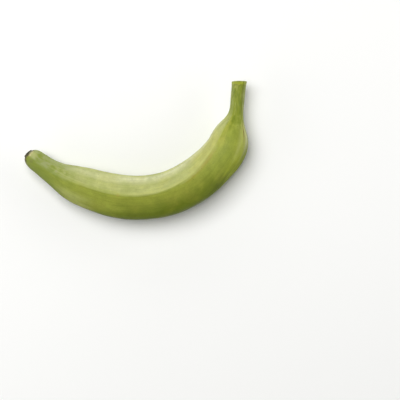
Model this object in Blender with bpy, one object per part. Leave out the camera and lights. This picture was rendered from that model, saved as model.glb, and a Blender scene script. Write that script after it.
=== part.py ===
"""A green plantain as picked, lying on its side.

It is one solid. The blunt blossom end is at the left (-X), the cut stem at the right and the back
(+X, +Y), and the belly of the bend faces the front (-Y). Five soft ridges run along the fruit, and
roll towards the inside of the bend as they near the stem. The origin is under the middle of the
fruit's box, on the surface that the fruit lies on.
"""

import math
from collections import namedtuple

import bmesh
import bpy
from mathutils import Matrix, Vector

MM = 0.001

# The cage has a corner on each ridge and one in the middle of each side between two ridges. The
# reach is how far a corner stands out, as a share of the ring's half width and half height.
RIDGES = 5
CORNERS = 2 * RIDGES
RIDGE_REACH = 1.16
SIDE_REACH = 0.98
SMOOTHING_LEVELS = 2

# Creases keep an edge sharper through the smoothing, from 0 for none to 1 for a hard edge.
RIDGE_CREASE = 0.4
SCAR_CREASE = 0.5
CUT_CREASE = 0.9

# The dry scar of the flower on the blossom end: a low collar round a sunken middle.
SCAR_COLLAR_INSET = 1.2 * MM
SCAR_COLLAR_HEIGHT = 0.9 * MM
SCAR_MIDDLE_INSET = 2.2 * MM
SCAR_MIDDLE_DEPTH = 0.8 * MM

# The stem is made a little too long and is then cut off square to Y.
STEM_CUT_Y = 72.2 * MM

# The peel is pressed flat by this much where the fruit lies on it.
PRESSED_FLAT = 0.4 * MM

PEEL_GREEN = (0.40, 0.45, 0.11, 1.0)
PEEL_ROUGHNESS = 0.45

# One ring of the cage, in millimetres and degrees: x, y and z are its centre, half_width is across
# the bend, half_height is upright, and turn is how far the top ridge has rolled towards the inside
# of the bend.
Ring = namedtuple("Ring", "x y z half_width half_height turn")
RINGS = (
    Ring(-113.8, -4.6, 20.0, 4.9, 4.9, 0),
    Ring(-111.8, -6.4, 20.3, 7.8, 7.8, 0),
    Ring(-108.1, -9.4, 20.5, 9.9, 9.8, 0),
    Ring(-101.3, -14.4, 20.3, 10.3, 10.2, 0),
    Ring(-92.0, -21.2, 19.9, 11.0, 10.9, 0),
    Ring(-82.5, -27.1, 19.1, 13.0, 12.7, 0),
    Ring(-72.8, -32.5, 18.4, 16.3, 15.7, 0),
    Ring(-62.1, -37.2, 17.6, 18.5, 18.1, 0),
    Ring(-48.8, -41.5, 19.5, 20.0, 19.8, 0),
    Ring(-33.0, -46.4, 20.7, 21.2, 21.0, 1),
    Ring(-13.0, -51.1, 21.5, 22.0, 21.6, 3),
    Ring(8.5, -51.6, 21.9, 21.8, 21.8, 6),
    Ring(30.1, -48.7, 22.7, 22.3, 22.0, 9),
    Ring(50.4, -41.2, 23.2, 22.5, 22.0, 13),
    Ring(68.8, -29.5, 23.5, 22.1, 21.8, 18),
    Ring(83.9, -15.2, 23.5, 21.0, 21.2, 24),
    Ring(95.1, -1.6, 22.8, 20.7, 20.4, 29),
    Ring(99.1, 10.8, 22.3, 20.0, 18.8, 31),
    Ring(100.5, 22.0, 22.0, 15.5, 14.4, 31),
    Ring(103.3, 31.0, 21.8, 9.6, 9.8, 32),
    Ring(105.4, 40.5, 21.6, 6.5, 7.4, 33),
    Ring(106.3, 53.0, 21.8, 7.1, 7.1, 33),
    Ring(107.5, 65.0, 22.0, 7.0, 7.1, 33),
    Ring(108.9, 77.0, 22.2, 7.9, 7.7, 33),
)


def clear_scene():
    for thing in list(bpy.data.objects):
        bpy.data.objects.remove(thing)


def corner_offsets(ring):
    """(outwards, upwards) of a ring's corners from its centre, starting at the top ridge."""
    offsets = []
    for corner in range(CORNERS):
        angle = math.radians(90 + ring.turn) + corner * math.tau / CORNERS
        reach = RIDGE_REACH if corner % 2 == 0 else SIDE_REACH
        outwards = ring.half_width * reach * math.cos(angle)
        upwards = ring.half_height * reach * math.sin(angle)
        offsets.append((outwards * MM, upwards * MM))
    return offsets


def ring_centre(ring):
    return Vector((ring.x, ring.y, ring.z)) * MM


def ring_place(index):
    """Matrix of a ring's plane: X points to the outside of the bend, Y up and Z along the fruit."""
    before = ring_centre(RINGS[max(index - 1, 0)])
    after = ring_centre(RINGS[min(index + 1, len(RINGS) - 1)])
    along = (after - before).normalized()
    outwards = along.cross(Vector((0, 0, 1))).normalized()
    upwards = outwards.cross(along)
    turned = Matrix((outwards, upwards, along)).transposed().to_4x4()
    return Matrix.Translation(ring_centre(RINGS[index])) @ turned


def add_ring(cage, index):
    """Adds one ring of corners to the cage, and returns its edges."""
    place = ring_place(index)
    made = bmesh.ops.create_circle(cage, segments=CORNERS, radius=1.0)
    corners = made["verts"]
    for corner, (outwards, upwards) in zip(corners, corner_offsets(RINGS[index])):
        corner.co = place @ Vector((outwards, upwards, 0))
    return list({edge for corner in corners for edge in corner.link_edges})


def crease_ridges(cage, crease):
    """Creases the edges that run along the ridges, which bridging leaves uncreased."""
    for edge in cage.edges:
        first, second = sorted(vert.index for vert in edge.verts)
        same_corner = (second - first) % CORNERS == 0
        if same_corner and first % 2 == 0:
            edge[crease] = RIDGE_CREASE


def plantain_cage():
    """The coarse cage of the fruit: its rings bridged from end to end, and both ends closed."""
    cage = bmesh.new()
    crease = cage.edges.layers.float.new("crease_edge")
    ring_edges = [add_ring(cage, index) for index in range(len(RINGS))]
    cage.verts.index_update()
    for near, far in zip(ring_edges, ring_edges[1:]):
        bmesh.ops.bridge_loops(cage, edges=near + far)
    crease_ridges(cage, crease)
    blossom_end = bmesh.ops.contextual_create(cage, geom=ring_edges[0])["faces"]
    stem_end = bmesh.ops.contextual_create(cage, geom=ring_edges[-1])["faces"]
    bmesh.ops.recalc_face_normals(cage, faces=cage.faces)
    add_scar(cage, crease, blossom_end)
    for edge in stem_end[0].edges:
        edge[crease] = CUT_CREASE
    return cage


def add_scar(cage, crease, end):
    """Raises the collar of the flower's scar on the blossom end and sinks its middle."""
    for edge in end[0].edges:
        edge[crease] = SCAR_CREASE
    bmesh.ops.inset_region(cage, faces=end, thickness=SCAR_COLLAR_INSET, depth=SCAR_COLLAR_HEIGHT)
    for edge in end[0].edges:
        edge[crease] = SCAR_CREASE
    bmesh.ops.inset_region(cage, faces=end, thickness=SCAR_MIDDLE_INSET, depth=-SCAR_MIDDLE_DEPTH)


def smoothed_mesh(cage):
    """The cage's smoothed surface as a mesh of its own."""
    cage_mesh = bpy.data.meshes.new("cage")
    cage.to_mesh(cage_mesh)
    cage.free()
    carrier = bpy.data.objects.new("cage", cage_mesh)
    bpy.context.scene.collection.objects.link(carrier)
    smoothing = carrier.modifiers.new("smoothing", "SUBSURF")
    smoothing.levels = SMOOTHING_LEVELS
    smoothing.render_levels = SMOOTHING_LEVELS
    evaluated = carrier.evaluated_get(bpy.context.evaluated_depsgraph_get())
    mesh = bpy.data.meshes.new_from_object(evaluated)
    bpy.data.objects.remove(carrier)
    bpy.data.meshes.remove(cage_mesh)
    return mesh


def cut_flat(fruit, point, outwards):
    """Cuts off what lies beyond a plane and closes each opening with a flat face."""
    everything = fruit.verts[:] + fruit.edges[:] + fruit.faces[:]
    bmesh.ops.bisect_plane(fruit, geom=everything, plane_co=point, plane_no=outwards, clear_outer=True)
    rim = [edge for edge in fruit.edges if edge.is_boundary]
    bmesh.ops.holes_fill(fruit, edges=rim)


def lay_down(fruit):
    """Moves the fruit over the origin and cuts the small flats that it lies on."""
    corners = [vert.co for vert in fruit.verts]
    middle_x = (min(co.x for co in corners) + max(co.x for co in corners)) / 2
    middle_y = (min(co.y for co in corners) + max(co.y for co in corners)) / 2
    lowest = min(co.z for co in corners)
    bmesh.ops.translate(fruit, verts=fruit.verts, vec=(-middle_x, -middle_y, -lowest - PRESSED_FLAT))
    cut_flat(fruit, Vector((0, 0, 0)), Vector((0, 0, -1)))


def peel_material():
    material = bpy.data.materials.new("green_peel")
    material.use_nodes = True
    shader = material.node_tree.nodes["Principled BSDF"]
    shader.inputs["Base Color"].default_value = PEEL_GREEN
    shader.inputs["Roughness"].default_value = PEEL_ROUGHNESS
    shader.inputs["Metallic"].default_value = 0.0
    return material


def build_plantain():
    mesh = smoothed_mesh(plantain_cage())
    fruit = bmesh.new()
    fruit.from_mesh(mesh)
    cut_flat(fruit, Vector((0, STEM_CUT_Y, 0)), Vector((0, 1, 0)))
    lay_down(fruit)
    fruit.to_mesh(mesh)
    fruit.free()
    mesh.name = "plantain"
    mesh.materials.append(peel_material())
    mesh.shade_smooth()
    plantain = bpy.data.objects.new("plantain", mesh)
    bpy.context.scene.collection.objects.link(plantain)


clear_scene()
build_plantain()
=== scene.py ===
"""A green plantain lying on its side on a plain stage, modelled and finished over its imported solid."""

import math
from collections import namedtuple

import bmesh
import bpy
from mathutils import Matrix, Vector


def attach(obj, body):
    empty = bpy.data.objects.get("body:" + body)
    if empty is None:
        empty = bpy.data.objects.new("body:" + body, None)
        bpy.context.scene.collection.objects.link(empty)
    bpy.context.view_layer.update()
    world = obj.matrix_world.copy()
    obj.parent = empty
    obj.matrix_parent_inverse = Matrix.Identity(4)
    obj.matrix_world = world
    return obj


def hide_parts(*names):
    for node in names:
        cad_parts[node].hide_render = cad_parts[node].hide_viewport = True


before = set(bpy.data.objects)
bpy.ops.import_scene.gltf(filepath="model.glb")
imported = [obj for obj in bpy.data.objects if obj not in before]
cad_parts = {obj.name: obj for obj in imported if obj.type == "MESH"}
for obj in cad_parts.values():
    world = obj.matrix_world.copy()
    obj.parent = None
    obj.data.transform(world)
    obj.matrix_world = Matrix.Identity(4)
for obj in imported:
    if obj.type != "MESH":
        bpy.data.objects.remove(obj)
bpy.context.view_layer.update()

bl_info = {
    "name": "Green Plantain",
    "version": (1, 0, 0),
    "blender": (4, 5, 0),
    "location": "3D View > Sidebar > Plantain",
    "description": "Models a green plantain with its cut stem and dry flower scar, and a stage for it",
    "category": "Mesh",
}

MM = 0.001

# The cage that the fruit is smoothed from: a corner on each ridge, and one in the middle of each side.
RIDGES = 5
CORNERS = 2 * RIDGES
# One ring of the cage, in millimetres and degrees: x, y and z are its centre, half_width is across
# the bend, half_height is upright, turn is how far the top ridge has rolled towards the inside of
# the bend, and ridge is how far the ridges stand out there, where 1 is the full height.
Ring = namedtuple("Ring", "x y z half_width half_height turn ridge")
RINGS = (
    Ring(-113.7, -3.7, 19.4, 5.4, 5.4, 0, 0),
    Ring(-113.0, -4.4, 19.5, 7.1, 7.1, 0, 0),
    Ring(-111.7, -5.7, 19.6, 8.8, 8.8, 0, 0),
    Ring(-108.3, -8.6, 19.8, 10.6, 10.4, 0, 0),
    Ring(-101.5, -13.6, 19.6, 11.0, 10.8, 1, 0.1),
    Ring(-92.2, -20.4, 19.2, 11.6, 11.3, 3, 0.3),
    Ring(-82.7, -26.3, 18.4, 13.6, 13.0, 4, 0.65),
    Ring(-73.0, -31.7, 17.7, 16.7, 15.8, 4, 0.9),
    Ring(-62.3, -36.4, 16.9, 18.8, 18.1, 3, 1),
    Ring(-49.0, -40.7, 18.8, 20.1, 19.8, 2, 1),
    Ring(-33.2, -45.6, 20.0, 21.2, 21.0, 2, 1),
    Ring(-13.2, -50.3, 20.8, 22.0, 21.6, 4, 1),
    Ring(8.3, -50.8, 21.2, 21.9, 21.8, 7, 1),
    Ring(29.9, -47.9, 22.0, 22.4, 22.0, 9, 1),
    Ring(50.2, -40.4, 22.5, 22.5, 22.0, 13, 0.95),
    Ring(68.4, -28.4, 22.8, 22.2, 21.8, 18, 0.85),
    Ring(83.2, -13.9, 22.8, 21.2, 21.2, 27, 0.75),
    Ring(94.6, -0.5, 22.1, 21.6, 20.5, 32, 0.65),
    Ring(98.7, 11.7, 21.6, 20.6, 18.9, 31, 0.6),
    Ring(100.2, 22.8, 21.3, 16.0, 14.5, 27, 0.6),
    Ring(103.6, 31.8, 21.1, 9.6, 9.9, 27, 0.9),
    Ring(105.7, 41.3, 20.9, 6.4, 7.2, 29, 1.4),
    Ring(106.4, 53.8, 21.1, 6.7, 6.8, 33, 1.6),
    Ring(107.6, 65.8, 21.3, 6.75, 6.8, 33, 1.4),
    Ring(108.4, 72.7, 21.4, 7.55, 7.5, 33, 1.2),
)
LAST = len(RINGS) - 1
STEM_CUT_DIRECTION = Vector((0, 1, 0))
# How sharp each ridge is beside the others, from the top one round by the belly.
RIDGE_SHARPNESS = (1.0, 0.6, 0.8, 0.7, 0.9)

# Insets that close the skin under the scar and inside the cut, each a thickness and a height in
# millimetres. A crease keeps the edge of the cut sharp.
BLOSSOM_END_STEPS = ((1.0, 0.2), (1.0, -1.0))
STEM_END_STEPS = ((0.9, 0.0), (0.2, -1.2))
CUT_EDGE_CREASE = 0.9

# The flower scar grows out of the blossom end, from a copy of the first ring that is a share of its
# size and sunk in the skin, by extrusions: each is a rise in millimetres and a size beside the last.
SCAR_SHARE = 0.88
SCAR_SUNK = 1.5 * MM
SCAR_STEPS = ((2.0, 1.05), (0.8, 0.94), (0.2, 0.8), (-0.6, 0.62), (-0.2, 0.6), (0.7, 0.75), (0.3, 0.6))

# The cut face rises inside the rim of the stem in the same way, and insets shape its middle.
CUT_SHARE = 0.93
CUT_SUNK = 1.0 * MM
CUT_RISE = 0.7 * MM
CUT_STEPS = ((0.4, 0.1), (0.9, 0.0), (0.9, -0.35), (1.2, -0.1), (1.2, 0.1))

# Grain of the relief in the mesh. The skin's ribs follow its map, whose units the displacing doubles,
# so that they come out about 2 mm wide and 15 mm long.
DENT_GRAIN = 28 * MM
RIB_GRAIN = 0.03
CRACK_GRAIN = 1.6 * MM
TORN_FIBRE_GRAIN = 0.7 * MM
# Edges sharper than this stay sharp when a piece is shaded smooth.
SMOOTH_ANGLE = math.radians(45)

# The skin's map, and the radius of the cylinder that it is rolled up to, which is the fruit's own.
UV_NAME = "around_and_along"
SKIN_RADIUS = 22 * MM

# The stage: a floor of this size in metres, a faint light from all round, and soft boxes, each a
# name, its place, what it points at, its width and its depth in metres, and its power in watts.
FLOOR_SIZE = 8.0
WORLD_STRENGTH = 0.08
LAMPS = (
    ("key_light", (-0.5, 0.5, 2.0), (0, 0, 0), 1.6, 1.6, 46.0),
    ("sheen_light", (-0.2, 1.5, 0.4), (0, 0, 0.02), 2.4, 0.8, 6.0),
    ("right_fill_light", (1.5, 0.15, 0.4), (0, 0, 0), 1.6, 0.8, 11.5),
    ("left_fill_light", (-1.4, -0.6, 0.6), (0, 0, 0), 1.6, 0.8, 6.0),
)
# The camera looks straight down through a long lens: its place is in metres, and its focal length and
# the width of its sensor are in millimetres.
CAMERA_PLACE = (0.0668, -0.0520, 1.599)
CAMERA_LENS = 135.0
CAMERA_SENSOR = 36.0


def linear(hex_colour):
    """A colour from its sRGB hex value, as the linear RGBA that shaders take."""
    channels = [int(hex_colour[at : at + 2], 16) / 255 for at in (1, 3, 5)]
    spread = [c / 12.92 if c <= 0.04045 else ((c + 0.055) / 1.055) ** 2.4 for c in channels]
    return (*spread, 1.0)


def colour_property(name, description, hex_colour):
    """A colour that the panel shows, with its default from an sRGB hex value."""
    return bpy.props.FloatVectorProperty(
        name=name, description=description, subtype="COLOR", size=4, min=0, max=1, default=linear(hex_colour)
    )


class PlantainSizes(bpy.types.PropertyGroup):
    """Sizes of the fruit that can be changed before it is modelled."""

    reach: bpy.props.FloatProperty(
        name="Reach", description="How far the cage stands out, as a share of the half width",
        default=1.075, min=1.0, max=1.2,
    )
    ridge_height: bpy.props.FloatProperty(
        name="Ridge height", description="How much further a ridge stands out, as a share of the half width",
        default=0.07, min=0, max=0.3,
    )
    side_flatness: bpy.props.FloatProperty(
        name="Side flatness", description="How much less a side's middle stands out, as the same share",
        default=0.065, min=0, max=0.2,
    )
    ridge_crease: bpy.props.FloatProperty(
        name="Ridge crease", description="How sharp the ridges stay as the fruit is smoothed",
        default=0.5, min=0, max=1, subtype="FACTOR",
    )
    smoothing: bpy.props.IntProperty(
        name="Smoothing levels", description="How often each cage is subdivided", default=4, min=1, max=4
    )
    unevenness: bpy.props.FloatProperty(
        name="Unevenness", description="Depth of the broad dents and swellings of the skin",
        default=0.7 * MM, min=0, unit="LENGTH",
    )
    fibre_relief: bpy.props.FloatProperty(
        name="Fibre relief", description="Depth of the faint ribs that run along the skin",
        default=0.35 * MM, min=0, unit="LENGTH",
    )
    scar_roughness: bpy.props.FloatProperty(
        name="Scar roughness", description="Depth of the cracks and lumps of the dry flower scar",
        default=1.1 * MM, min=0, unit="LENGTH",
    )
    cut_roughness: bpy.props.FloatProperty(
        name="Cut roughness", description="Depth of the torn fibres in the cut of the stem",
        default=0.5 * MM, min=0, unit="LENGTH",
    )


class PlantainColours(bpy.types.PropertyGroup):
    """Colours of the fruit and its stage."""

    under_skin: colour_property("Under skin", "Skin that the fruit lies on", "#7F8A33")
    inner_skin: colour_property("Inner skin", "Skin deep in the bend", "#98A04C")
    # A painted sheen along the inside of the bend, and painted light on the outer rim by the neck.
    painted_cream_highlight: colour_property("Cream skin", "Bleached band along the inside of the bend", "#C9CA9C")
    # Pale skin above the ridge is lighter and side skin below it darker, partly as painted light and shade.
    pale_skin: colour_property("Pale skin", "Skin between the bleached band and the side ridge", "#A9AD6A")
    side_skin: colour_property("Side skin", "Skin between the side ridge and the belly", "#91993A")
    # The belly's deeper green, with painted shade in it.
    belly_green_and_shade: colour_property("Belly skin", "Skin on the belly of the bend", "#5F6C18")
    yellow_patch: colour_property("Yellow patch", "Patches that have begun to ripen", "#B0AC48")
    green_patch: colour_property("Green patch", "Patches that are still deep green", "#78862E")
    # Painted light on the outer side by the stem.
    painted_light_green: colour_property("Fresh skin", "Bright skin on the outer side by the stem", "#A1AA36")
    # A painted highlight along the crest of the top ridge.
    painted_ridge_highlight: colour_property("Ridge wax", "Pale line just above a ridge", "#B9BB68")
    # A painted shade just below the crest of the top ridge.
    painted_ridge_shade: colour_property("Rubbed ridge", "Brown line where a ridge is rubbed", "#7D8426")
    speck: colour_property("Speck", "Freckles of the skin", "#5B6428")
    tip_skin: colour_property("Tip skin", "Dull skin of the blossom end", "#7B8936")
    tip_cork: colour_property("Tip cork", "Corky skin beside the flower scar", "#C4B987")
    stem_skin: colour_property("Stem skin", "Skin of the stem", "#7D8824")
    stem_shade: colour_property("Stem shade", "Deep green streak from the neck up the stem", "#64751E")
    # Also painted light on the outer side by the neck and on the inner shoulder of the neck.
    neck_skin: colour_property("Neck skin", "Pale skin where the fruit narrows to the stem", "#A7AB5E")
    cut_rim: colour_property("Cut rim", "Bruised skin just under the cut of the stem", "#98A22C")
    rust: colour_property("Rust", "Dry orange-brown rubs on a ridge", "#9C9038")
    tip_bloom: colour_property("Tip bloom", "Greyish bloom left on the blossom end", "#999C74")
    bruise: colour_property("Bruise", "Brown bruises and dried sap", "#6A5526")
    pith: colour_property("Pith", "Browned middle of the cut stem", "#93854A")
    pith_ring: colour_property("Pith ring", "Pale ring inside the rim of the cut stem", "#B4B070")
    pith_fibre: colour_property("Pith fibre", "Ends of the fibres in the cut stem", "#574720")
    scar_crust: colour_property("Scar crust", "Dry crust of the flower scar", "#332F1A")
    scar_fibre: colour_property("Scar fibre", "Bleached fibres in the flower scar", "#75704A")
    paper: colour_property("Paper", "The plain floor", "#F4F4F2")


# Colours round the fruit: the share of the way round from the bottom, by the inside of the bend. The cream
# band paints a sheen along the inside of the bend, the step from pale to side skin at the ridge paints the
# lit face above it and the shaded face below, and the belly's deeper green holds painted shade.
ROUND_THE_FRUIT = (
    (0.0, "under_skin"),
    (0.14, "inner_skin"),
    (0.28, "inner_skin"),
    (0.345, "painted_cream_highlight"),
    (0.41, "pale_skin"),
    (0.488, "pale_skin"),
    (0.503, "side_skin"),
    (0.61, "side_skin"),
    (0.72, "belly_green_and_shade"),
    (0.86, "belly_green_and_shade"),
    (1.0, "under_skin"),
)

# Broad bands that run along the skin, each a colour, the share of the way round of its middle line
# and its half width, where it starts and ends in millimetres from the flower scar, and its strength.
# Many of these bands paint light and shade, as noted at each.
BANDS = (
    # Painted shade over the belly, on top of its deeper green.
    ("belly_green_and_shade", 0.7, 0.2, 100, 222, 0.75),
    ("belly_green_and_shade", 0.66, 0.1, 130, 190, 0.7),
    # Painted light on the lower side near the blossom end.
    ("pale_skin", 0.65, 0.1, 35, 90, 0.5),
    ("pale_skin", 0.43, 0.08, 24, 80, 0.5),
    # Painted light on the outer side by the stem.
    ("painted_light_green", 0.76, 0.1, 205, 250, 0.5),
    # Less of the painted sheen along the inside of the bend near the blossom end.
    ("pale_skin", 0.335, 0.06, 38, 122, 0.5),
    ("green_patch", 0.59, 0.06, 200, 270, 0.35),
    # Painted light on the outer side and its rim by the neck.
    ("painted_light_green", 0.7, 0.07, 212, 262, 0.5),
    ("painted_cream_highlight", 0.765, 0.075, 237, 312, 0.72),
    ("neck_skin", 0.705, 0.07, 229, 290, 0.68),
    ("yellow_patch", 0.42, 0.12, 190, 265, 0.35),
    # Painted shade along the inside of the bend by the neck, and over the top ridge's highlight near the
    # blossom end.
    ("side_skin", 0.27, 0.06, 205, 265, 0.4),
    ("side_skin", 0.495, 0.035, 8, 128, 0.45),
    # Pale skin over the top ridge towards the neck, which moves the painted step between the lit and the
    # shaded face.
    ("pale_skin", 0.502, 0.02, 175, 240, 0.5),
    ("stem_shade", 0.62, 0.06, 255, 300, 0.65),
    ("stem_shade", 0.645, 0.05, 272, 335, 0.7),
)

# Lines of the same kind that are broken in places: a painted highlight along the crest of the top ridge and
# a painted shade just below it, rubs along the ridges, and the bruised and the corky skin beside the flower
# scar.
WORN_AND_PAINTED_LINES = (
    ("painted_ridge_highlight", 0.484, 0.014, 110, 235, 0.45),
    ("painted_ridge_shade", 0.502, 0.013, 50, 200, 0.5),
    ("rust", 0.513, 0.022, 176, 240, 0.55),
    ("yellow_patch", 0.53, 0.03, 232, 290, 0.45),
    ("bruise", 0.712, 0.012, 244, 280, 1.0),
    ("bruise", 0.67, 0.09, -20, 24, 0.6),
    ("tip_cork", 0.35, 0.05, -15, 15, 0.5),
)

# A band is full as far from its middle line as this share of its half width, and fades over the rest.
# Towards its ends it fades over this many millimetres.
BAND_CORE = 0.2
BAND_FADE = 20

# Marks on the skin, some of them partly painted light as noted: place in millimetres, radius in millimetres,
# colour and strength.
MARKS = (
    ((-18.2, -47.3, 44.6), 3.2, "rust", 0.45),
    ((84.5, -35.4, 39.0), 1.4, "speck", 0.7),
    ((79.3, -36.4, 40.4), 1.2, "speck", 0.6),
    ((-65.9, -16.3, 21.2), 1.8, "bruise", 0.6),
    ((-107.5, -4.4, 28.8), 6.0, "pale_skin", 0.7),
    ((-100.2, -5.6, 27.2), 4.0, "green_patch", 0.6),
    ((-115.8, -10.6, 25.0), 2.6, "scar_crust", 0.8),
    ((-116.4, -13.4, 22.6), 2.8, "bruise", 0.7),
    ((-110.0, -11.2, 29.4), 3.4, "scar_fibre", 0.3),
    ((-112.4, -15.6, 24.4), 2.4, "speck", 0.5),
    # Pale cork beside the scar, partly a painted highlight on it.
    ((-111.4, -4.6, 28.2), 2.2, "tip_cork", 0.9),
    ((-109.6, -3.0, 26.8), 2.0, "tip_cork", 0.6),
    ((-108.6, -2.0, 25.8), 2.4, "tip_cork", 0.5),
    ((103.1, 66.3, 28.2), 1.8, "yellow_patch", 0.6),
    # Painted light on the inner shoulder of the neck.
    ((94.1, 34.1, 24.4), 9.0, "neck_skin", 0.8),
)
# A mark is full as far from its middle as this share of its radius. A noise shifts it by up to this
# much, and its middle is shifted by half of that so that it stays in place.
MARK_CORE = 0.2
MARK_JITTER = 2 * MM

# Settings that many nodes share.
COLOUR_MIX = {"data_type": "RGBA"}
COLOUR_MULTIPLY = {"data_type": "RGBA", "blend_type": "MULTIPLY"}
SMOOTH_STEP = {"interpolation_type": "SMOOTHSTEP"}
# The inputs of a colour mix by number: how much of the top colour shows, the base colour and the top.
FACTOR, BASE, TOP = 0, 6, 7
# Most values of a noise lie in this range.
NOISE_SPREAD = {"From Min": 0.3, "From Max": 0.7}


def set_inputs(tree, node, inputs):
    """Sets a node's inputs to values, or links them from sockets and from the first output in use of
    other nodes."""
    for socket, value in inputs.items():
        if isinstance(value, bpy.types.Node):
            value = next(output for output in value.outputs if output.enabled)
        if isinstance(value, bpy.types.NodeSocket):
            tree.links.new(value, node.inputs[socket])
        else:
            node.inputs[socket].default_value = value


def add_node(tree, kind, settings=None, inputs=None):
    """Adds a node with its settings and its inputs."""
    node = tree.nodes.new(kind)
    for name, value in (settings or {}).items():
        setattr(node, name, value)
    set_inputs(tree, node, inputs or {})
    return node


def new_material(name):
    """A new material, its node tree and its shader."""
    material = bpy.data.materials.new(name)
    material.use_nodes = True
    return material, material.node_tree, material.node_tree.nodes["Principled BSDF"]


def band_share(tree, around, along, middle, half_width, start, end, most):
    """How much of a band shows: most of it on its middle line, and less towards its sides and ends."""
    half_length = (end - start) / 2
    shares = []
    for where, centre, full, none, strength in (
        (around, middle, BAND_CORE * half_width, half_width, most),
        (along, (start + end) / 2 * MM, max(half_length - BAND_FADE, 0) * MM, half_length * MM, 1.0),
    ):
        off = add_node(tree, "ShaderNodeMath", {"operation": "SUBTRACT"}, {0: where, 1: centre})
        distance = add_node(tree, "ShaderNodeMath", {"operation": "ABSOLUTE"}, {0: off})
        share = add_node(
            tree,
            "ShaderNodeMapRange",
            SMOOTH_STEP,
            {"Value": distance, "From Min": full, "From Max": none, "To Min": strength, "To Max": 0.0},
        )
        shares.append(share)
    return add_node(tree, "ShaderNodeMath", {"operation": "MULTIPLY"}, dict(enumerate(shares)))


# What the skin's colours follow: a point's place, its share of the way round, its metres along, the
# same with streaky bounds, and the noises.
OnSkin = namedtuple("OnSkin", "place around along streaky fibres bands smudges blotches mottle")


def skin_patterns(tree):
    """Adds the nodes that give a point's place on the skin, and the noises over it."""
    place = add_node(tree, "ShaderNodeTexCoord").outputs["Object"]
    skin_map = add_node(tree, "ShaderNodeUVMap", {"uv_map": UV_NAME})
    split = add_node(tree, "ShaderNodeSeparateXYZ", inputs={"Vector": skin_map})
    around, along = split.outputs["X"], split.outputs["Y"]

    # The map is rolled up to a cylinder whose radius is the unit, so that the streaks meet at its seam.
    angle = add_node(tree, "ShaderNodeMath", {"operation": "MULTIPLY"}, {0: around, 1: math.tau})
    across = add_node(tree, "ShaderNodeMath", {"operation": "COSINE"}, {0: angle})
    up = add_node(tree, "ShaderNodeMath", {"operation": "SINE"}, {0: angle})
    radii = add_node(tree, "ShaderNodeMath", {"operation": "DIVIDE"}, {0: along, 1: SKIN_RADIUS})
    barrel = add_node(tree, "ShaderNodeCombineXYZ", inputs={"X": across, "Y": up, "Z": radii})

    # Fibres 1.5 mm apart and about 30 mm long, drawn coarse enough to show, bands 5 mm apart, and
    # smudges 6 mm across, which the narrow ends squeeze to 3 mm.
    noises = []
    for scale, detail in (((15, 15, 0.75), 3.0), ((4.4, 4.4, 0.5), 2.0), ((3.6, 3.6, 3), 4.0)):
        drawn = add_node(tree, "ShaderNodeMapping", inputs={"Vector": barrel, "Scale": scale})
        noise = add_node(
            tree, "ShaderNodeTexNoise", inputs={"Vector": drawn, "Scale": 1.0, "Detail": detail}
        )
        noises.append(noise)
    # Blotches 18 mm across, and a mottle 3 mm across.
    for size, detail in ((18 * MM, 3.0), (3 * MM, 4.0)):
        noise = add_node(
            tree, "ShaderNodeTexNoise", inputs={"Vector": place, "Scale": 1 / size, "Detail": detail}
        )
        noises.append(noise)
    bands = noises[1]

    # Bounds that lie across the fruit run out in streaks, by about 9 mm either way.
    shift = add_node(
        tree,
        "ShaderNodeMapRange",
        inputs={"Value": bands, **NOISE_SPREAD, "To Min": -9 * MM, "To Max": 9 * MM},
    )
    streaky = add_node(tree, "ShaderNodeMath", {"operation": "ADD"}, {0: along, 1: shift})
    return OnSkin(place, around, along, streaky, *noises)


def broad_colours(tree, colours, on_skin):
    """The colours round the fruit, whose bounds waver by about 1 mm either way, and the broad bands."""
    waver = add_node(
        tree,
        "ShaderNodeMapRange",
        inputs={"Value": on_skin.bands, **NOISE_SPREAD, "To Min": -0.007, "To Max": 0.007},
    )
    wavering = add_node(
        tree, "ShaderNodeMath", {"operation": "ADD", "use_clamp": True}, {0: on_skin.around, 1: waver}
    )
    skin = add_node(tree, "ShaderNodeValToRGB", inputs={"Fac": wavering})
    stops = skin.color_ramp.elements
    for position, name in ROUND_THE_FRUIT[1:-1]:
        stops.new(position).color = getattr(colours, name)
    stops[0].color = getattr(colours, ROUND_THE_FRUIT[0][1])
    stops[-1].color = getattr(colours, ROUND_THE_FRUIT[-1][1])
    for name, *band in BANDS:
        share = band_share(tree, wavering, on_skin.streaky, *band)
        colour = getattr(colours, name)
        skin = add_node(tree, "ShaderNodeMix", COLOUR_MIX, {FACTOR: share, BASE: skin, TOP: colour})
    return skin


def patches_and_grain(tree, colours, on_skin, skin):
    """Riper and greener patches over the skin, its fine streaks, and a grain 1.1 mm across."""
    for name, noise, low, high, most in (
        ("yellow_patch", on_skin.blotches, 0.5, 0.75, 0.22),
        ("green_patch", on_skin.blotches, 0.48, 0.3, 0.25),
        ("green_patch", on_skin.bands, 0.5, 0.25, 0.18),
        ("speck", on_skin.mottle, 0.42, 0.25, 0.1),
    ):
        share = add_node(
            tree,
            "ShaderNodeMapRange",
            inputs={"Value": noise, "From Min": low, "From Max": high, "To Max": most},
        )
        colour = getattr(colours, name)
        skin = add_node(tree, "ShaderNodeMix", COLOUR_MIX, {FACTOR: share, BASE: skin, TOP: colour})

    grain = add_node(
        tree, "ShaderNodeTexNoise", inputs={"Vector": on_skin.place, "Scale": 1 / (1.1 * MM), "Detail": 2.0}
    )
    for noise, change in ((on_skin.fibres, 0.06), (grain, 0.06), (on_skin.smudges, 0.09)):
        shade = add_node(
            tree,
            "ShaderNodeMapRange",
            inputs={"Value": noise, **NOISE_SPREAD, "To Min": 1 - change, "To Max": 1 + change},
        )
        skin = add_node(tree, "ShaderNodeMix", COLOUR_MULTIPLY, {FACTOR: 1.0, BASE: skin, TOP: shade})
    return skin


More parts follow.
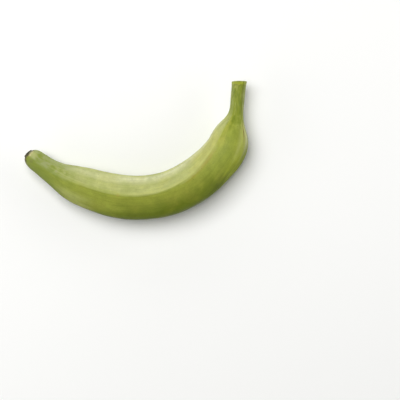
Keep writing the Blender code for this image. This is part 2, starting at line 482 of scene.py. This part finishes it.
def worn_and_painted_lines(tree, colours, on_skin, skin):
    """Lines over the skin, which patches 9 mm across break here and there."""
    patchy = add_node(
        tree, "ShaderNodeTexNoise", inputs={"Vector": on_skin.place, "Scale": 1 / (9 * MM), "Detail": 2.0}
    )
    line_breaks = add_node(
        tree,
        "ShaderNodeMapRange",
        inputs={"Value": patchy, "From Min": 0.35, "From Max": 0.6, "To Min": 0.35},
    )
    for name, *line in WORN_AND_PAINTED_LINES:
        share = band_share(tree, on_skin.around, on_skin.along, *line)
        share = add_node(tree, "ShaderNodeMath", {"operation": "MULTIPLY"}, {0: share, 1: line_breaks})
        colour = getattr(colours, name)
        skin = add_node(tree, "ShaderNodeMix", COLOUR_MIX, {FACTOR: share, BASE: skin, TOP: colour})
    return skin


def end_colours(tree, colours, on_skin, skin):
    """The skin of the blossom end and of the stem, which fade in along the streaks, and the rims of the
    scar and of the cut, whose bounds waver by about 1 mm either way."""
    length = distances_along()[-1]
    shift = add_node(
        tree,
        "ShaderNodeMapRange",
        inputs={"Value": on_skin.mottle, **NOISE_SPREAD, "To Min": -MM, "To Max": MM},
    )
    ragged = add_node(tree, "ShaderNodeMath", {"operation": "ADD"}, {0: on_skin.along, 1: shift})
    for name, where, full, none, most in (
        ("tip_skin", on_skin.streaky, 20 * MM, 62 * MM, 0.8),
        ("bruise", ragged, 1.8 * MM, 3.4 * MM, 0.6),
        ("scar_crust", ragged, 0.9 * MM, 2.1 * MM, 0.95),
        ("stem_skin", on_skin.streaky, length - 34 * MM, length - 52 * MM, 0.85),
        ("bruise", ragged, length - 3.9 * MM, length - 5.2 * MM, 0.4),
        ("cut_rim", ragged, length - 3.2 * MM, length - 4.0 * MM, 0.9),
        ("bruise", ragged, length, length - 0.7 * MM, 0.4),
    ):
        share = add_node(
            tree,
            "ShaderNodeMapRange",
            SMOOTH_STEP,
            {"Value": where, "From Min": full, "From Max": none, "To Min": most, "To Max": 0.0},
        )
        colour = getattr(colours, name)
        skin = add_node(tree, "ShaderNodeMix", COLOUR_MIX, {FACTOR: share, BASE: skin, TOP: colour})
    return skin


def end_smudges(tree, colours, on_skin, skin):
    """Smudges of grey bloom and deeper green on the blossom end, of deeper green and pale skin on the
    stem, and of dark green along one of the stem's ridges."""
    length = distances_along()[-1] / MM
    for name, area, low, high, most in (
        ("tip_bloom", (0.42, 0.13, -60, 60, 1.0), 0.46, 0.6, 0.5),
        ("green_patch", (0.46, 0.2, -60, 60, 1.0), 0.47, 0.33, 0.65),
        ("stem_shade", (0.5, 1.5, length - 60, length + 60, 1.0), 0.5, 0.32, 0.8),
        ("neck_skin", (0.5, 1.5, length - 60, length + 60, 1.0), 0.54, 0.7, 0.5),
        ("speck", (0.68, 0.035, 265, 325, 1.0), 0.2, 0.5, 0.6),
    ):
        share = add_node(
            tree,
            "ShaderNodeMapRange",
            inputs={"Value": on_skin.smudges, "From Min": low, "From Max": high, "To Max": most},
        )
        inside = band_share(tree, on_skin.around, on_skin.along, *area)
        share = add_node(tree, "ShaderNodeMath", {"operation": "MULTIPLY"}, {0: share, 1: inside})
        colour = getattr(colours, name)
        skin = add_node(tree, "ShaderNodeMix", COLOUR_MIX, {FACTOR: share, BASE: skin, TOP: colour})
    return skin


def freckles(tree, colours, on_skin, skin):
    """Freckles about 0.8 mm across, on one cell of skin in three."""
    cells = add_node(tree, "ShaderNodeTexVoronoi", inputs={"Vector": on_skin.place, "Scale": 1 / (4 * MM)})
    dot = add_node(
        tree,
        "ShaderNodeMapRange",
        inputs={"Value": cells, "From Min": 0.07, "From Max": 0.13, "To Min": 0.4, "To Max": 0.0},
    )
    lot = add_node(tree, "ShaderNodeSeparateXYZ", inputs={"Vector": cells.outputs["Color"]})
    chosen = add_node(tree, "ShaderNodeMath", {"operation": "LESS_THAN"}, {0: lot, 1: 0.33})
    share = add_node(tree, "ShaderNodeMath", {"operation": "MULTIPLY"}, {0: dot, 1: chosen})
    return add_node(tree, "ShaderNodeMix", COLOUR_MIX, {FACTOR: share, BASE: skin, TOP: colours.speck})


def single_marks(tree, colours, on_skin, skin):
    """Single marks with ragged edges."""
    jitter = add_node(
        tree,
        "ShaderNodeVectorMath",
        {"operation": "MULTIPLY_ADD"},
        {0: on_skin.mottle.outputs["Color"], 1: (MARK_JITTER,) * 3, 2: on_skin.place},
    )
    for spot, radius, name, most in MARKS:
        centre = [value * MM + MARK_JITTER / 2 for value in spot]
        distance = add_node(tree, "ShaderNodeVectorMath", {"operation": "DISTANCE"}, {0: jitter, 1: centre})
        share = add_node(
            tree,
            "ShaderNodeMapRange",
            SMOOTH_STEP,
            {
                "Value": distance.outputs["Value"],
                "From Min": MARK_CORE * radius * MM,
                "From Max": radius * MM,
                "To Min": most,
                "To Max": 0.0,
            },
        )
        colour = getattr(colours, name)
        skin = add_node(tree, "ShaderNodeMix", COLOUR_MIX, {FACTOR: share, BASE: skin, TOP: colour})
    return skin


def waxy_banana_skin(colours):
    """Skin of an unripe plantain: a thin wax bloom over long fibres gives it a satin gloss, fine streaks
    along the fruit, and brown lines where its ridges have been rubbed. Its colours also hold painted light
    and shade: a painted sheen along the inside of the bend, painted light on the outer side by the stem,
    painted shade on the belly, and a painted highlight and shade along the top ridge."""
    material, tree, shader = new_material("waxy_banana_skin")
    on_skin = skin_patterns(tree)
    skin = broad_colours(tree, colours, on_skin)
    for add_layer in (patches_and_grain, worn_and_painted_lines, end_colours, end_smudges, freckles, single_marks):
        skin = add_layer(tree, colours, on_skin, skin)

    # The gloss is mottled, and the outer side by the stem is rubbed dull.
    gloss = add_node(
        tree,
        "ShaderNodeMapRange",
        inputs={"Value": on_skin.mottle, **NOISE_SPREAD, "To Min": 0.4, "To Max": 0.54},
    )
    dull = band_share(tree, on_skin.around, on_skin.along, 0.77, 0.17, 180, 290, 0.4)
    roughness = add_node(tree, "ShaderNodeMath", {"operation": "ADD"}, {0: gloss, 1: dull})
    # Pores 0.9 mm apart between the fibres, drawn coarse enough to show.
    pores = add_node(
        tree, "ShaderNodeTexNoise", inputs={"Vector": on_skin.place, "Scale": 1 / (0.9 * MM), "Detail": 2.0}
    )
    relief = add_node(tree, "ShaderNodeMath", {"operation": "ADD"}, {0: on_skin.fibres, 1: pores})
    bump = add_node(
        tree, "ShaderNodeBump", inputs={"Height": relief, "Strength": 0.5, "Distance": 0.12 * MM}
    )
    set_inputs(
        tree, shader, {"Base Color": skin, "Roughness": roughness, "Specular IOR Level": 0.2, "Normal": bump}
    )
    return material


def cut_banana_stem(colours):
    """Stem cut across with a knife: moist fibres that dried dull and brown, with a paler ring."""
    material, tree, shader = new_material("cut_banana_stem")
    place = add_node(tree, "ShaderNodeTexCoord").outputs["Object"]
    # The browned middle is about 9 mm across, and its bound wavers by about 1 mm either way.
    off = add_node(tree, "ShaderNodeVectorMath", {"operation": "SUBTRACT"}, {0: place, 1: ring_centre(LAST)})
    flat = add_node(tree, "ShaderNodeVectorMath", {"operation": "MULTIPLY"}, {0: off, 1: (1, 0, 1)})
    radius = add_node(tree, "ShaderNodeVectorMath", {"operation": "LENGTH"}, {0: flat})
    mottle = add_node(
        tree, "ShaderNodeTexNoise", inputs={"Vector": place, "Scale": 1 / (2 * MM), "Detail": 4.0}
    )
    shift = add_node(
        tree, "ShaderNodeMapRange", inputs={"Value": mottle, **NOISE_SPREAD, "To Min": -MM, "To Max": MM}
    )
    ragged = add_node(tree, "ShaderNodeMath", {"operation": "ADD"}, {0: radius.outputs["Value"], 1: shift})
    share = add_node(
        tree,
        "ShaderNodeMapRange",
        SMOOTH_STEP,
        {"Value": ragged, "From Min": 3.4 * MM, "From Max": 5.4 * MM},
    )
    face = add_node(
        tree, "ShaderNodeMix", COLOUR_MIX, {FACTOR: share, BASE: colours.pith, TOP: colours.pith_ring}
    )
    # Ends of fibre bundles, drawn coarse enough to show: about 0.7 mm across and 1.7 mm apart.
    cells = add_node(tree, "ShaderNodeTexVoronoi", inputs={"Vector": place, "Scale": 1 / (1.7 * MM)})
    dot = add_node(
        tree,
        "ShaderNodeMapRange",
        inputs={"Value": cells, "From Min": 0.12, "From Max": 0.3, "To Min": 0.8, "To Max": 0.0},
    )
    face = add_node(tree, "ShaderNodeMix", COLOUR_MIX, {FACTOR: dot, BASE: face, TOP: colours.pith_fibre})
    stain = add_node(
        tree,
        "ShaderNodeMapRange",
        inputs={"Value": mottle, "From Min": 0.5, "From Max": 0.68, "To Max": 0.6},
    )
    face = add_node(tree, "ShaderNodeMix", COLOUR_MIX, {FACTOR: stain, BASE: face, TOP: colours.bruise})
    set_inputs(tree, shader, {"Base Color": face, "Roughness": 0.75})
    return material


def dried_flower_tissue(colours):
    """What is left of the flower, dried on the fruit: brittle crust and bleached fibres, no gloss."""
    material, tree, shader = new_material("dried_flower_tissue")
    place = add_node(tree, "ShaderNodeTexCoord").outputs["Object"]
    # Crumbs 1.5 mm across.
    crumbs = add_node(
        tree, "ShaderNodeTexNoise", inputs={"Vector": place, "Scale": 1 / (1.5 * MM), "Detail": 5.0}
    )
    share = add_node(
        tree,
        "ShaderNodeMapRange",
        inputs={"Value": crumbs, "From Min": 0.48, "From Max": 0.68, "To Max": 0.8},
    )
    crust = add_node(
        tree, "ShaderNodeMix", COLOUR_MIX, {FACTOR: share, BASE: colours.scar_crust, TOP: colours.scar_fibre}
    )
    set_inputs(tree, shader, {"Base Color": crust, "Roughness": 0.88})
    return material


def matte_paper(colours):
    """Seamless studio paper, rolled and uncoated, which gives no gloss."""
    material, tree, shader = new_material("matte_paper")
    set_inputs(tree, shader, {"Base Color": colours.paper, "Roughness": 0.9, "Specular IOR Level": 0.1})
    return material


def ring_centre(index):
    ring = RINGS[index]
    return Vector((ring.x, ring.y, ring.z)) * MM


def distances_along():
    """Metres from the flower scar to each ring, along the middle of the fruit."""
    along = [0.0]
    for index in range(LAST):
        along.append(along[-1] + (ring_centre(index + 1) - ring_centre(index)).length)
    return along


def ring_axes(index):
    """Matrix whose X points to the inside of the bend, Y up and Z along the fruit."""
    along = (ring_centre(min(index + 1, LAST)) - ring_centre(max(index - 1, 0))).normalized()
    if index == LAST:
        along = STEM_CUT_DIRECTION
    inwards = Vector((0, 0, 1)).cross(along).normalized()
    upwards = along.cross(inwards)
    return Matrix((inwards, upwards, along)).transposed()


def select_in_edit_mode(mesh, kind, wanted):
    """Selects the vertices, edges or faces that the test wants, and nothing else."""
    bpy.ops.mesh.select_all(action="DESELECT")
    edited = bmesh.from_edit_mesh(mesh)
    for element in getattr(edited, kind):
        if wanted(element):
            element.select_set(True)
    bmesh.update_edit_mesh(mesh)


def on_ring(index):
    """Test of whether an edge lies on a ring of the cage."""
    corners = range(index * CORNERS, (index + 1) * CORNERS)
    return lambda edge: all(vert.index in corners for vert in edge.verts)


def add_ring(sizes, index, number=0, share=1.0, forwards=0.0):
    """Adds a ring of the cage, or one a share of its size and moved forwards along the fruit, as the
    mesh's ring of that number, and pulls out the corners that lie on ridges."""
    ring, axes = RINGS[index], ring_axes(index)
    centre = ring_centre(index) + axes.col[2] * forwards
    side = sizes.reach - sizes.side_flatness * ring.ridge
    rolled = axes @ Matrix.Rotation(math.radians(-ring.turn), 3, "Z")
    bpy.ops.mesh.primitive_circle_add(
        vertices=CORNERS, radius=side * share * MM, location=centre, rotation=rolled.to_euler()
    )
    if number == 0:
        bpy.ops.object.transform_apply()
        bpy.ops.object.mode_set(mode="EDIT")
        bpy.ops.mesh.select_all(action="SELECT")
    bpy.ops.transform.resize(
        value=(ring.half_width, ring.half_height, 1),
        orient_type="GLOBAL",
        orient_matrix=axes,
        orient_matrix_type="GLOBAL",
        center_override=centre,
    )
    ridge_corners = range(number * CORNERS, (number + 1) * CORNERS, 2)
    select_in_edit_mode(bpy.context.object.data, "verts", lambda vert: vert.index in ridge_corners)
    pull = (sizes.reach + sizes.ridge_height * ring.ridge) / side
    bpy.ops.transform.resize(value=(pull,) * 3, center_override=centre)
    bpy.ops.mesh.select_all(action="DESELECT")


def bridge_rings(mesh):
    """Joins each ring of the cage to the next one by faces."""
    for index in range(LAST):
        near, far = on_ring(index), on_ring(index + 1)
        select_in_edit_mode(mesh, "edges", lambda edge: near(edge) or far(edge))
        bpy.ops.mesh.bridge_edge_loops()


def crease_ridges(mesh, sizes):
    """Creases each ridge between each two rings, as sharp as it is there."""
    for index in range(LAST):
        strength = min((RINGS[index].ridge + RINGS[index + 1].ridge) / 2, 1)
        for ridge, sharpness in enumerate(RIDGE_SHARPNESS):
            ends = {index * CORNERS + 2 * ridge, (index + 1) * CORNERS + 2 * ridge}
            select_in_edit_mode(mesh, "edges", lambda edge: {vert.index for vert in edge.verts} == ends)
            bpy.ops.transform.edge_crease(value=sizes.ridge_crease * sharpness * strength)


def fill_ring(mesh, index):
    """Closes a ring with a face, and leaves that selected."""
    select_in_edit_mode(mesh, "edges", on_ring(index))
    bpy.ops.mesh.edge_face_add()


def inset_in_steps(steps):
    """Insets the selected face by steps, each a thickness and a height in millimetres."""
    for thickness, height in steps:
        bpy.ops.mesh.inset(thickness=thickness * MM, depth=height * MM)


def leave_edit_mode():
    """Turns all faces outwards and goes back to object mode."""
    bpy.ops.mesh.select_all(action="SELECT")
    bpy.ops.mesh.normals_make_consistent(inside=False)
    bpy.ops.object.mode_set(mode="OBJECT")


def map_skin(mesh):
    """Maps the skin: U is the share of the way round from the bottom, V the metres along the fruit.
    The corners that close an end come after those of the rings, and lie at the end's own ring."""
    along = distances_along()
    layer = mesh.uv_layers.new(name=UV_NAME)
    for face in mesh.polygons:
        corners = []
        for loop in face.loop_indices:
            vertex = mesh.loops[loop].vertex_index
            ring = vertex // CORNERS
            if ring > LAST:
                ring = 0 if mesh.vertices[vertex].co.x < 0 else LAST
            corners.append((loop, (vertex + CORNERS // 2) % CORNERS, ring))
        on_seam = any(corner == CORNERS - 1 for _, corner, _ in corners)
        for loop, corner, ring in corners:
            turns = 1 if on_seam and corner == 0 else corner / CORNERS
            layer.data[loop].uv = (turns, along[ring])


def apply_modifier(kind, name, **settings):
    bpy.ops.object.modifier_add(type=kind)
    modifier = bpy.context.object.modifiers[-1]
    modifier.name = name
    for setting, value in settings.items():
        setattr(modifier, setting, value)
    bpy.ops.object.modifier_apply(modifier=name)


def smooth_cage(sizes):
    apply_modifier("SUBSURF", "smoothing", levels=sizes.smoothing, render_levels=sizes.smoothing)


def roughen(name, depth, grain, octaves=2, **settings):
    """Displaces the surface in and out by clouds of that grain."""
    clouds = bpy.data.textures.new(name, "CLOUDS")
    clouds.noise_scale = grain
    clouds.noise_depth = octaves
    apply_modifier("DISPLACE", name, texture=clouds, strength=depth, mid_level=0.5, **settings)


def press_flat(mesh):
    """Presses what would sink into the floor flat on it."""
    bpy.ops.object.mode_set(mode="EDIT")
    select_in_edit_mode(mesh, "verts", lambda vert: vert.co.z < 0)
    bpy.ops.transform.resize(value=(1, 1, 0), center_override=(0, 0, 0))
    bpy.ops.object.mode_set(mode="OBJECT")


def finish_piece(piece, name, material):
    """Names a piece, shades it and gives it its material, and says what it belongs to in the frame."""
    piece.name = name
    piece.data.name = name
    piece.data.materials.append(material)
    bpy.ops.object.shade_smooth_by_angle(angle=SMOOTH_ANGLE)
    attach(piece, "root")
    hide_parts("plantain")


class PlantainFruit(bpy.types.Operator):
    """Model the fruit and its stem, and finish its skin"""

    bl_idname = "mesh.plantain_fruit"
    bl_label = "Plantain Fruit"

    def execute(self, context):
        sizes = context.scene.plantain_sizes
        bpy.ops.object.select_all(action="DESELECT")
        for index in range(len(RINGS)):
            add_ring(sizes, index, number=index)
        mesh = context.object.data
        bridge_rings(mesh)
        crease_ridges(mesh, sizes)
        select_in_edit_mode(mesh, "edges", on_ring(LAST))
        bpy.ops.transform.edge_crease(value=CUT_EDGE_CREASE)
        for index, steps in ((0, BLOSSOM_END_STEPS), (LAST, STEM_END_STEPS)):
            fill_ring(mesh, index)
            inset_in_steps(steps)
        leave_edit_mode()
        map_skin(mesh)
        smooth_cage(sizes)
        roughen("dents", sizes.unevenness, DENT_GRAIN)
        roughen("fibres", sizes.fibre_relief, RIB_GRAIN, texture_coords="UV", uv_layer=UV_NAME)
        press_flat(mesh)
        finish_piece(context.object, "plantain_fruit", waxy_banana_skin(context.scene.plantain_colours))
        return {"FINISHED"}


class PlantainFlowerScar(bpy.types.Operator):
    """Model the dry scar that the flower left on the blossom end"""

    bl_idname = "mesh.plantain_flower_scar"
    bl_label = "Flower Scar"

    def execute(self, context):
        sizes = context.scene.plantain_sizes
        bpy.ops.object.select_all(action="DESELECT")
        add_ring(sizes, 0, share=SCAR_SHARE, forwards=SCAR_SUNK)
        fill_ring(context.object.data, 0)
        outwards = -ring_axes(0).col[2]
        for rise, share in SCAR_STEPS:
            bpy.ops.mesh.extrude_region_move(TRANSFORM_OT_translate={"value": outwards * rise * MM})
            bpy.ops.transform.resize(value=(share,) * 3)
        leave_edit_mode()
        smooth_cage(sizes)
        roughen("cracks", sizes.scar_roughness, CRACK_GRAIN, octaves=4)
        finish_piece(context.object, "flower_scar", dried_flower_tissue(context.scene.plantain_colours))
        return {"FINISHED"}


class PlantainStemCut(bpy.types.Operator):
    """Model the cut face inside the rim of the stem"""

    bl_idname = "mesh.plantain_stem_cut"
    bl_label = "Stem Cut"

    def execute(self, context):
        sizes = context.scene.plantain_sizes
        bpy.ops.object.select_all(action="DESELECT")
        add_ring(sizes, LAST, share=CUT_SHARE, forwards=-CUT_SUNK)
        fill_ring(context.object.data, 0)
        bpy.ops.mesh.extrude_region_move(TRANSFORM_OT_translate={"value": STEM_CUT_DIRECTION * CUT_RISE})
        inset_in_steps(CUT_STEPS)
        leave_edit_mode()
        smooth_cage(sizes)
        roughen("torn_fibres", sizes.cut_roughness, TORN_FIBRE_GRAIN, octaves=3)
        finish_piece(context.object, "stem_cut", cut_banana_stem(context.scene.plantain_colours))
        return {"FINISHED"}


class PlantainStage(bpy.types.Operator):
    """Set up the plain floor, the soft studio light and the camera above the fruit"""

    bl_idname = "scene.plantain_stage"
    bl_label = "Plantain Stage"

    def execute(self, context):
        bpy.ops.object.select_all(action="DESELECT")
        bpy.ops.mesh.primitive_plane_add(size=FLOOR_SIZE, location=(0, 0, 0))
        floor = context.object
        floor.name = "floor"
        floor.data.materials.append(matte_paper(context.scene.plantain_colours))

        world = bpy.data.worlds.new("studio")
        world.use_nodes = True
        background = world.node_tree.nodes["Background"]
        set_inputs(world.node_tree, background, {"Color": (1, 1, 1, 1), "Strength": WORLD_STRENGTH})
        context.scene.world = world
        context.scene.view_settings.view_transform = "Standard"

        for name, place, target, width, depth, power in LAMPS:
            bpy.ops.object.light_add(type="AREA", location=place)
            lamp = context.object
            lamp.name = name
            lamp.data.shape = "RECTANGLE"
            lamp.data.size = width
            lamp.data.size_y = depth
            lamp.data.energy = power
            lamp.rotation_euler = (Vector(target) - lamp.location).to_track_quat("-Z", "Y").to_euler()

        bpy.ops.object.camera_add(location=CAMERA_PLACE, rotation=(0, 0, 0))
        camera = context.object
        camera.data.lens = CAMERA_LENS
        camera.data.sensor_width = CAMERA_SENSOR
        context.scene.camera = camera
        return {"FINISHED"}


class PlantainPanel(bpy.types.Panel):
    """Sizes, colours and steps of the plantain"""

    bl_idname = "VIEW3D_PT_plantain"
    bl_label = "Plantain"
    bl_space_type = "VIEW_3D"
    bl_region_type = "UI"
    bl_category = "Plantain"

    def draw(self, context):
        layout = self.layout
        for group in (context.scene.plantain_sizes, context.scene.plantain_colours):
            for name in group.__annotations__:
                layout.prop(group, name)
        for step in STEPS:
            layout.operator(step.bl_idname)


STEPS = (PlantainFruit, PlantainFlowerScar, PlantainStemCut, PlantainStage)
CLASSES = (PlantainSizes, PlantainColours, *STEPS, PlantainPanel)


def register():
    for each in CLASSES:
        bpy.utils.register_class(each)
    bpy.types.Scene.plantain_sizes = bpy.props.PointerProperty(type=PlantainSizes)
    bpy.types.Scene.plantain_colours = bpy.props.PointerProperty(type=PlantainColours)


def unregister():
    del bpy.types.Scene.plantain_colours
    del bpy.types.Scene.plantain_sizes
    for each in reversed(CLASSES):
        bpy.utils.unregister_class(each)


def main():
    register()
    bpy.ops.mesh.plantain_fruit()
    bpy.ops.mesh.plantain_flower_scar()
    bpy.ops.mesh.plantain_stem_cut()
    bpy.ops.scene.plantain_stage()


if __name__ == "__main__":
    main()
